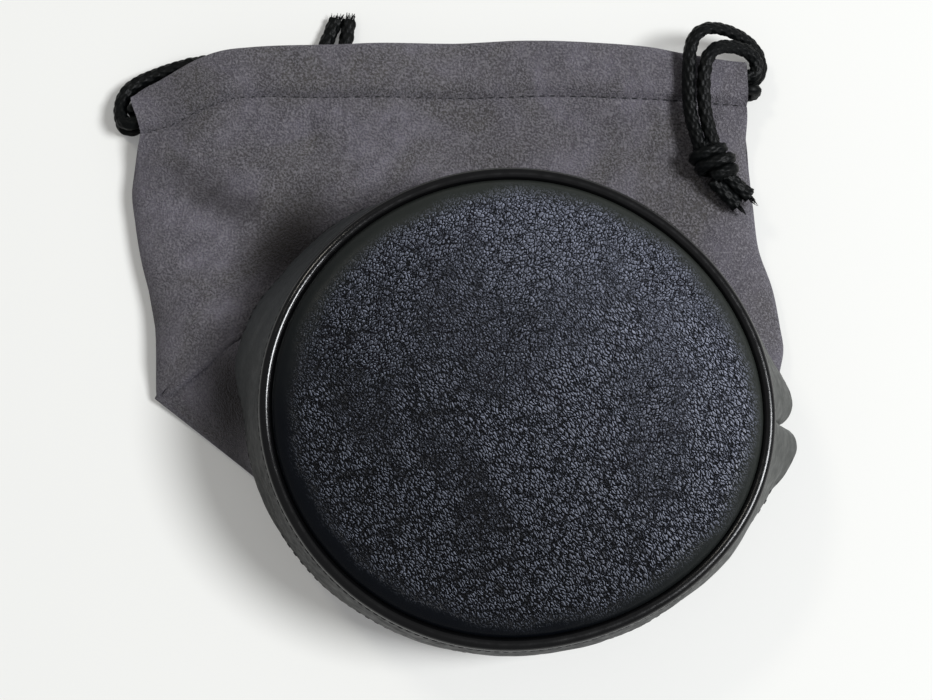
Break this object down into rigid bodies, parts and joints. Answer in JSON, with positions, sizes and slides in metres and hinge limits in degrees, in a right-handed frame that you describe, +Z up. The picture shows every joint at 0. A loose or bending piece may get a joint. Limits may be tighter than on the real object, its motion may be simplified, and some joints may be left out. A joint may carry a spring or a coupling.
{
  "type": "drawstring lens pouch",
  "caption": "Soft drawstring pouch for a camera lens, lying flat with its round padded base on top, leatherette base and band, suede bag and knotted cords.",
  "frame": {"origin": "on the table under the middle of the pouch, the free ends of the cords left out", "axes": "+Z up through the padded base, +Y towards the mouth, +X towards the right-hand cord in the picture"},
  "size_m": [0.1728, 0.1644, 0.0433],
  "materials": {
    "leatherette": "grained leatherette, low sheen",
    "piping_leatherette": "smooth leatherette, glossy",
    "suede": "napped suede cloth",
    "foam": "open foam padding",
    "board": "stiffening board",
    "lining": "woven lining",
    "thread": "sewing thread",
    "cord": "braided cord"
  },
  "bodies": {
    "pouch": {"base_panel": "leatherette", "base_foam": "foam", "base_board": "board", "base_lining": "lining", "seam_binding": "lining", "piping_core": "foam", "piping_cover": "piping_leatherette", "base_seam_thread": "thread", "band": "leatherette", "band_foam": "foam", "band_lining": "lining", "band_stitching": "thread", "suede_front": "suede", "suede_back": "suede", "hem_stitching_front": "thread", "hem_stitching_back": "thread", "side_seam_thread_left": "thread", "side_seam_thread_right": "thread"},
    "left_drawcord": {"left_cord_run": "cord", "left_strand_front": "cord", "left_strand_back": "cord", "left_knot": "cord", "left_end_front": "cord", "left_end_back": "cord"},
    "right_drawcord": {"right_cord_run": "cord", "right_strand_front": "cord", "right_strand_back": "cord", "right_knot": "cord", "right_end_front": "cord", "right_end_back": "cord"}
  },
  "joints": [
    {"name": "left_drawcord_pull", "type": "slide", "parent": "pouch", "child": "left_drawcord", "axis": [-1, 0, 0], "range_m": [0, 0.015], "deforming": ["left_cord_run"]},
    {"name": "right_drawcord_pull", "type": "slide", "parent": "pouch", "child": "right_drawcord", "axis": [1, 0, 0], "range_m": [0, 0.015], "deforming": ["right_cord_run"]}
  ]
}
